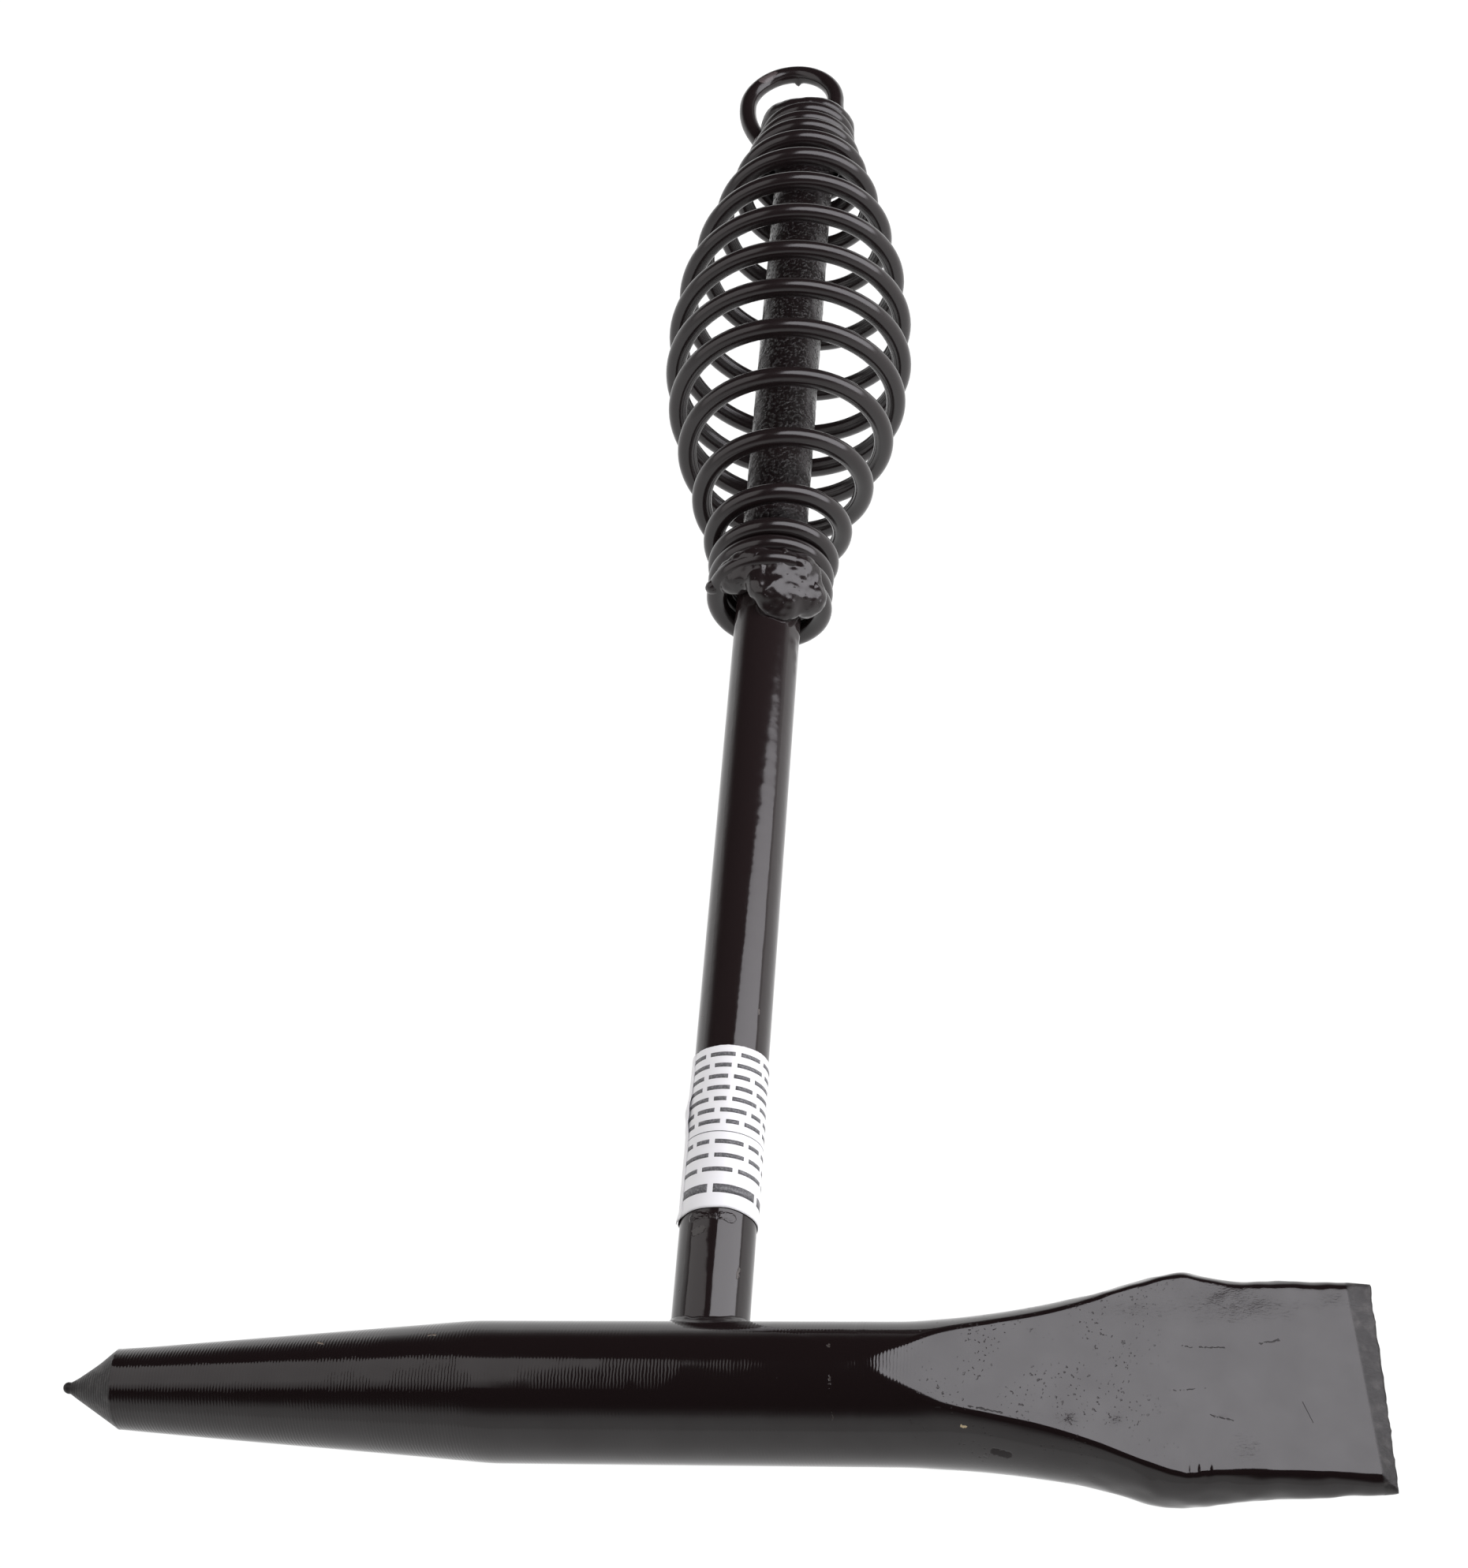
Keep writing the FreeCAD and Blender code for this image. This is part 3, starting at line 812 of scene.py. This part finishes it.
def coil_places(steps_per_turn):
    """(turn, y) along the wire, with the pitch summed in small steps from the first turn."""
    step = 1.0 / steps_per_turn

    def climb(turn):
        return max(TIGHT_PITCH, wave(turn, *NECK_WAVE) + wave(turn, *BELLY_WAVE)) * step

    count_up, count_down = round(LAST_TURN / step), round(-FIRST_TURN / step)
    up, down = [(0.0, COIL_START_Y)], []
    for k in range(count_up):
        up.append(((k + 1) * step, up[-1][1] + climb((k + 0.5) * step)))
    y = COIL_START_Y
    for k in range(count_down):
        y -= climb(-(k + 0.5) * step)
        down.append((-(k + 1) * step, y))
    return list(reversed(down)) + up


def coil_radius(y):
    if y < BELLY_Y:
        away, end_radius, power = (BELLY_Y - y) / (BELLY_Y - NECK_Y), NECK_RADIUS, 1.35
    else:
        away, end_radius, power = (y - BELLY_Y) / (TAIL_Y - BELLY_Y), TAIL_RADIUS, 1.1
    swell = math.cos(math.pi / 2 * min(away, 1.0)) ** power
    return end_radius + (BELLY_RADIUS - end_radius) * swell


def build_coil(material):
    sides = 28
    centres = []
    for turn, y in coil_places(84):
        angle, radius = math.pi / 2 - 2 * math.pi * turn, coil_radius(y)
        centres.append(Vector((radius * math.cos(angle), y, radius * math.sin(angle))))
    spans = []
    for k, centre in enumerate(centres):
        ahead, behind = centres[min(k + 1, len(centres) - 1)], centres[max(k - 1, 0)]
        tangent = (ahead - behind).normalized()
        outward_side = Vector((centre.x, 0, centre.z)).normalized()
        outward_side = (outward_side - tangent * outward_side.dot(tangent)).normalized()
        spans.append((outward_side, tangent.cross(outward_side)))
    last = len(centres) - 1

    def radius(k, a):
        rounded = min(1.0, 0.82 + 0.06 * min(k, last - k))
        return WIRE_RADIUS * rounded

    points = tube(centres, spans, radius, sides)
    obj = make_piece("coil", points, ring_faces(len(centres), sides), "coil_grip", material)
    roughen(obj, lambda p: 0.014 * lumps(p, 3.0) + 0.008 * lumps(p, 1.1))
    return obj


# ---- ring ----

def bezier(a, b, c, d, t):
    return a * (1 - t) ** 3 + b * 3 * t * (1 - t) ** 2 + c * 3 * t * t * (1 - t) + d * t ** 3


def ring_path():
    """Centres along the ring: up its left leg, round the bow and down its right leg."""
    def at(x, y):
        return Vector((x, y, RING_Z))

    left, right = at(*LEFT_FOOT), at(*RIGHT_FOOT)
    west, east = at(RING_X - RING_BOW, RING_BOW_Y - 0.5), at(RING_X + RING_BOW, RING_BOW_Y - 0.5)
    north = at(RING_X, RING_BOW_Y + RING_BOW)
    up, right_way = Vector((0, 1, 0)), Vector((1, 0, 0))
    leave, arrive = Vector((-0.50, 0.866, 0)), Vector((0.45, -0.893, 0))
    arm, leg = RING_BOW * 0.56, 4.2
    spans = [
        (left, left + leave * leg, west - up * leg, west),
        (west, west + up * arm, north - right_way * arm, north),
        (north, north + right_way * arm, east + up * arm, east),
        (east, east - up * leg * 0.8, right - arrive * leg * 0.8, right),
    ]
    centres = [bezier(*span, k / 26) for span in spans for k in range(26)]
    return centres + [right]


def build_ring(material):
    sides = 28
    centres = ring_path()
    side = Vector((0, 0, 1))
    spans = []
    for k in range(len(centres)):
        tangent = (centres[min(k + 1, len(centres) - 1)] - centres[max(k - 1, 0)]).normalized()
        spans.append((tangent.cross(side), side))
    points = tube(centres, spans, lambda k, a: RING_WIRE, sides)
    obj = make_piece("ring", points, ring_faces(len(centres), sides), "hang_ring", material)
    nib = (RING_X + 0.7, RING_BOW_Y + RING_BOW - RING_WIRE * 0.78, RING_Z - RING_WIRE * 0.6)

    def relief(p):
        height = 0.02 * lumps(p, 2.4) + 0.012 * lumps(p, 0.9)
        height += 0.75 * bell(p, nib, (0.42, 0.8, 0.6))
        height -= 0.10 * bell(p, (-8.4, 257.6, 0.0), (1.6, 1.0, 1.4))
        return height + 0.05 * bell(p, (-6.4, 258.6, -0.4), (0.6, 0.6, 1.0))

    roughen(obj, relief)
    return obj


# ---- welds ----

def ball(centre, size, lean=0.0):
    """Points and faces of an ellipsoid, turned about the handle by lean degrees."""
    bm = bmesh.new()
    bmesh.ops.create_icosphere(bm, subdivisions=4, radius=1.0)
    turn = Matrix.Rotation(math.radians(lean), 3, "Y")
    points = [turn @ Vector([a * b for a, b in zip(v.co, size)]) + Vector(centre) for v in bm.verts]
    faces = [tuple(v.index for v in f.verts) for f in bm.faces]
    bm.free()
    return points, faces


def arc_bar(start, end, radius, y_of, thickness):
    """Balls along an arc about the handle; angles run from +Z towards +X."""
    parts = []
    count = max(4, int(abs(end - start) / 7))
    for k in range(count + 1):
        share = k / count
        a = math.radians(start + (end - start) * share)
        size = thickness(share)
        parts.append(ball((radius * math.sin(a), y_of(share), radius * math.cos(a)), (size, size, size)))
    return parts


def fused(name, parts, melt, replaced, material, relief):
    """One closed skin over many overlapping lumps, relaxed until they flow together."""
    points, faces = [], []
    for part_points, part_faces in parts:
        start = len(points)
        points += part_points
        faces += [tuple(start + i for i in face) for face in part_faces]
    obj = make_piece(name, points, faces, replaced, material)
    remesh = obj.modifiers.new("skin", "REMESH")
    remesh.mode = "VOXEL"
    remesh.voxel_size = 0.24 * MM
    relax = obj.modifiers.new("flow", "SMOOTH")
    relax.factor, relax.iterations = 0.5, melt
    graph = bpy.context.evaluated_depsgraph_get()
    skin = bpy.data.meshes.new_from_object(obj.evaluated_get(graph))
    obj.modifiers.clear()
    obj.data = skin
    skin.shade_smooth()
    roughen(obj, relief)
    return obj


def build_collar(material):
    parts = arc_bar(-72, -10, 7.7, lambda s: 131.7 + 0.8 * s, lambda s: 1.75 + 0.55 * s)
    parts += [
        ball((-8.1, 130.9, 3.4), (1.7, 1.3, 1.6)),
        ball((-3.8, 130.6, 5.5), (3.6, 2.3, 2.3), -30),
        ball((2.4, 128.9, 5.0), (5.6, 4.9, 3.0), 26),
        ball((6.2, 128.7, 2.5), (3.0, 3.3, 3.2), 58),
        ball((0.6, 132.2, 6.8), (6.0, 2.9, 2.4), 6),
        ball((5.3, 132.0, 5.2), (4.0, 3.0, 2.6), 44),
        ball((2.2, 125.4, 4.5), (3.6, 2.6, 1.4), 26),
    ]

    def relief(p):
        sunk = 0.5 * bell(p, (4.9, 130.8, 7.4), (1.3, 0.6, 2.0)) + 0.30 * bell(p, (0.6, 129.6, 7.6), (0.7, 2.2, 2.0))
        sunk -= 0.45 * bell(p, (3.2, 132.9, 8.2), (0.5, 1.8, 2.0))
        return 0.20 * lumps(p, 2.2) + 0.10 * lumps(p, 1.0) - sunk

    return fused("collar_bead", parts, 85, "collar_weld", material, relief)


def build_tail(material):
    def rim_y(s):
        return 240.6 + 1.1 * smooth(abs(-88 + 186 * s) / 50) + 0.15 * math.sin(15 * s)

    parts = arc_bar(-88, 98, 6.6, rim_y, lambda s: 1.75 + 0.10 * math.sin(9 * s))
    parts += [
        ball((0.0, 240.2, 6.0), (4.4, 1.7, 1.9)),
        ball((4.4, 240.9, 4.4), (2.0, 1.5, 2.0)),
        ball((-4.2, 240.9, 4.4), (2.0, 1.4, 1.8)),
        ball((0.0, 240.6, 0.5), (5.4, 1.0, 5.0)),
    ]

    def relief(p):
        return 0.13 * lumps(p, 2.6) + 0.04 * lumps(p, 0.9)

    return fused("tail_bead", parts, 34, "tail_weld", material, relief)


def build_ring_weld(side, foot, material):
    x, y = foot[0] * 0.93, foot[1] - 1.2
    inward = -1 if foot[0] > 0 else 1
    parts = [
        ball((x, y, RING_Z + 0.6), (2.1, 2.0, 2.3)),
        ball((x + inward * 1.0, y - 0.6, RING_Z + 1.6), (1.4, 1.5, 1.5)),
        ball((x, y + 1.2, RING_Z), (1.75, 1.2, 1.75)),
    ]

    def relief(p):
        return 0.12 * lumps(p, 1.4) + 0.05 * lumps(p, 0.6)

    name = "ring_bead_" + side
    return fused(name, parts, 14, "ring_weld_" + side, material, relief)


def build_head_seam(material):
    """The thin irregular bead of weld and paint where the rod meets the head."""
    count = 144
    points, sides = [], 7
    for k in range(count):
        a = 2 * math.pi * k / count
        out = Vector((math.cos(a), 0, math.sin(a)))
        foot = ROD_RADIUS * out
        foot.y = math.sqrt(HEAD_RADIUS ** 2 - foot.z ** 2)
        width = 0.75 + 0.22 * lumps(foot, 1.6) + 0.10 * lumps(foot, 0.7)
        tall = 0.70 + 0.25 * lumps(foot + Vector((9, 0, 0)), 1.3)
        far = foot + out * width
        far.y = math.sqrt(HEAD_RADIUS ** 2 - far.z ** 2)
        top = foot + Vector((0, tall, 0))
        ring = [top - out * 0.25, top]
        for t in (0.3, 0.6, 0.85):
            bend = foot * 0.55 + (far + top) * 0.225
            ring.append(top * (1 - t) ** 2 + bend * 2 * t * (1 - t) + far * t * t)
        ring += [far - Vector((0, 0.12, 0)), foot - out * 0.3 - Vector((0, 0.6, 0))]
        points += ring
    faces = []
    for k in range(count):
        for i in range(sides):
            a, b = k * sides + i, k * sides + (i + 1) % sides
            c, d = (k + 1) % count * sides + (i + 1) % sides, (k + 1) % count * sides + i
            faces.append((a, b, c, d))
    return make_piece("head_seam", points, faces, "head_weld", material)


# ---- label ----

SHEET_START = -82.0     # degrees from +Z towards +X
SHEET_TURN = 384.0
SHEET_LOW = 0.06        # height of the sheet's underside over the rod
SHEET_THICK = 0.09


def sheet_height(angle, y):
    """How far the label's face stands off the rod, in mm, with its overlap and lifted flap."""
    over = smooth((angle - SHEET_START - 345.0) / 14.0)
    height = SHEET_LOW + SHEET_THICK + 0.11 * over
    spot = (ROD_RADIUS * math.radians(angle), y, 0.0)
    height += 0.022 * lumps(spot, 3.2) + 0.010 * lumps(spot, 1.1)
    loose = smooth((angle - SHEET_START - 352.0) / 30.0)
    flap = math.exp(-((y - 38.6) / 2.6) ** 2)
    height += loose * flap * (0.45 + 0.30 * lumps(spot, 1.6))
    torn = math.exp(-((y - LABEL_START_Y) / 1.6) ** 2) * math.exp(-((angle - SHEET_START) / 16.0) ** 2)
    height += 0.35 * torn
    return height


def sheet_point(angle, y, lift):
    radius = ROD_RADIUS + sheet_height(angle, y) + lift
    a = math.radians(angle)
    return (radius * math.sin(a), y, radius * math.cos(a))


def build_label(material):
    columns, rows = 250, 60
    faces, outer, inner = [], [], []
    for j in range(rows + 1):
        for i in range(columns + 1):
            angle = SHEET_START + SHEET_TURN * i / columns
            share = j / rows
            low = LABEL_START_Y + 0.14 * lumps((angle / 40, 1.0, 0.0), 1.0)
            low += 0.125 * math.sin(math.radians(angle + 70))
            high = LABEL_END_Y + 0.10 * lumps((angle / 40, 9.0, 0.0), 1.0)
            high += 0.05 * lumps((angle / 6, 5.0, 0.0), 1.0)
            y = low + (high - low) * share
            end = SHEET_START + SHEET_TURN
            if i == columns:
                angle = end + 2.0 * lumps((y, 2.0, 0.0), 1.4)
            outer.append(sheet_point(angle, y, 0.0))
            inner.append(sheet_point(angle, y, -SHEET_THICK))
    width = columns + 1
    total = len(outer)
    for j in range(rows):
        for i in range(columns):
            a, b, c, d = j * width + i, j * width + i + 1, (j + 1) * width + i + 1, (j + 1) * width + i
            faces.append((a, b, c, d))
            faces.append((total + d, total + c, total + b, total + a))
    border = [i for i in range(width)] + [j * width + columns for j in range(1, rows + 1)]
    border += [rows * width + i for i in range(columns - 1, -1, -1)] + [j * width for j in range(rows - 1, 0, -1)]
    for a, b in zip(border, border[1:] + border[:1]):
        faces.append((a, b, total + b, total + a))
    return make_piece("label_sheet", outer + inner, faces, "label", material)


def build_print(material):
    """Rows of plain bars and a rule where the label is printed; there is no lettering."""
    chance = random.Random(7)
    rows = [(35.9 + 1.72 * k, 0.62, 3.4) for k in range(7)]
    rows += [(28.8 + 2.05 * k, 0.62, 3.8) for k in range(3)]
    rows += [(26.0, 1.25, 5.6)]
    points, faces = [], []

    def patch(angle_0, angle_1, y0, y1):
        steps = max(1, round((angle_1 - angle_0) / 4))
        start = len(points)
        for k in range(steps + 1):
            angle = angle_0 + (angle_1 - angle_0) * k / steps
            for y, lift in ((y0, 0.014), (y1, 0.014), (y1, -0.01), (y0, -0.01)):
                points.append(sheet_point(angle, y, lift))
        for k in range(steps):
            for i in range(4):
                a, b = start + 4 * k + i, start + 4 * k + (i + 1) % 4
                faces.append((a, b, b + 4, a + 4))
        faces.append(tuple(start + i for i in range(4)))
        faces.append(tuple(start + 4 * steps + i for i in range(4)))

    degrees = 180 / (math.pi * ROD_RADIUS)
    for y, tall, length in rows:
        angle = SHEET_START + 14 + chance.uniform(0, 8)
        while angle < SHEET_START + 318:
            wide = length * degrees * chance.uniform(0.45, 1.15)
            patch(angle, angle + wide, y - tall / 2, y + tall / 2)
            angle += wide + 0.75 * degrees
    patch(SHEET_START + 8, SHEET_START + 338, 34.34, 34.46)
    return make_piece("label_print", points, faces, None, material)


# ---- stage ----

def build_floor():
    bm = bmesh.new()
    bmesh.ops.create_circle(bm, cap_ends=True, segments=96, radius=4.0)
    mesh = bpy.data.meshes.new("table")
    bm.to_mesh(mesh)
    bm.free()
    mesh.materials.append(floor_paper())
    table = bpy.data.objects.new("table", mesh)
    bpy.context.scene.collection.objects.link(table)


def panel(name, centre, run, corners, colour, radiance, fade):
    """A glowing sheet seen only by reflection: corners are (along run, along Y) from centre, mm.

    Its radiance falls linearly over the two Y places in fade to the shares given with them.
    """
    run = Vector(run).normalized()
    mesh = bpy.data.meshes.new(name)
    spots = [place(Vector(centre) + run * u + Vector((0, v, 0))) for u, v in corners]
    mesh.from_pydata(spots, [], [tuple(range(len(spots)))])
    s = Shader(name)
    glow = s.add("ShaderNodeEmission")
    s.feed(glow.inputs["Color"], colour + (1,))
    share = s.add("ShaderNodeMapRange")
    s.feed(share.inputs["Value"], s.axis(1))
    (y0, share0), (y1, share1) = fade
    for socket, value in zip(share.inputs[1:5], (y0, y1, share0 * radiance, share1 * radiance)):
        s.feed(socket, value)
    s.feed(glow.inputs["Strength"], share.outputs[0])
    output = s.add("ShaderNodeOutputMaterial")
    s.feed(output.inputs["Surface"], glow.outputs[0])
    mesh.materials.append(s.material)
    obj = bpy.data.objects.new(name, mesh)
    bpy.context.scene.collection.objects.link(obj)
    obj.visible_camera = False
    obj.visible_shadow = False


def build_world():
    """A room that is white near the floor and dark overhead, lighter towards the front."""
    world = bpy.data.worlds.new("room")
    bpy.context.scene.world = world
    world.use_nodes = True
    nodes, links = world.node_tree.nodes, world.node_tree.links
    nodes.clear()
    coords = nodes.new("ShaderNodeTexCoord")
    height = nodes.new("ShaderNodeVectorMath")
    height.operation = "DOT_PRODUCT"
    height.inputs[1].default_value = (0.0, 0.16, 1.0)
    ramp = nodes.new("ShaderNodeValToRGB")
    glow = nodes.new("ShaderNodeBackground")
    output = nodes.new("ShaderNodeOutputWorld")
    links.new(coords.outputs["Generated"], height.inputs[0])
    links.new(height.outputs["Value"], ramp.inputs[0])
    links.new(ramp.outputs[0], glow.inputs["Color"])
    links.new(glow.outputs[0], output.inputs["Surface"])
    stops = ramp.color_ramp.elements
    shades = ((0.0, 0.85), (0.16, 0.74), (0.23, 0.58), (0.33, 0.23), (0.43, 0.06), (0.56, 0.02), (1.0, 0.02))
    while len(stops) < len(shades):
        stops.new(0.5)
    for stop, (spot, shade) in zip(stops, shades):
        stop.position = spot
        stop.color = (shade, shade, shade, 1)


def build_camera():
    yaw, dive, roll = math.radians(-13.599), math.radians(51.298), math.radians(-12.227)
    forward = Vector((math.sin(yaw) * math.cos(dive), math.cos(yaw) * math.cos(dive), -math.sin(dive)))
    right = forward.cross(Vector((0, 0, 1))).normalized()
    up = right.cross(forward)
    turned_right = right * math.cos(roll) + up * math.sin(roll)
    turned_up = up * math.cos(roll) - right * math.sin(roll)
    camera = bpy.data.cameras.new("camera")
    camera.lens = 62.70
    camera.clip_start = 0.01
    obj = bpy.data.objects.new("camera", camera)
    bpy.context.scene.collection.objects.link(obj)
    stance = Matrix((turned_right, turned_up, -forward)).transposed().to_4x4()
    obj.matrix_world = HAMMER @ Matrix.Translation(Vector((55.370, -145.791, 309.889)) * MM) @ stance
    bpy.context.scene.camera = obj


bpy.context.scene.view_settings.view_transform = "Standard"
build_camera()
build_world()
build_floor()
panel("key", (350, 255, 350), (1, 0, -1),
      ((-392, -220), (400, -220), (400, 318), (235, 285), (62, 250),
       (-75, 212), (-222, 192), (-330, 150), (-392, 95)),
      (0.97, 0.955, 1.0), 4.4, ((290, 1.0), (520, 0.66)))
panel("fill", (-390, 215, 310), (1, 0, 1),
      ((-200, -400), (322, -400), (400, 20), (380, 95), (-200, 115)),
      (1.0, 0.97, 0.97), 1.2, ((-60, 1.0), (-190, 0.35)))

weld_enamel = weld_paint()
wire_enamel = wire_paint()
build_head(head_paint())
build_rod(rod_paint())
build_coil(wire_enamel)
build_ring(wire_enamel)
build_collar(weld_enamel)
build_tail(weld_enamel)
build_ring_weld("left", LEFT_FOOT, weld_enamel)
build_ring_weld("right", RIGHT_FOOT, weld_enamel)
build_head_seam(weld_enamel)
build_label(paper())
build_print(ink())
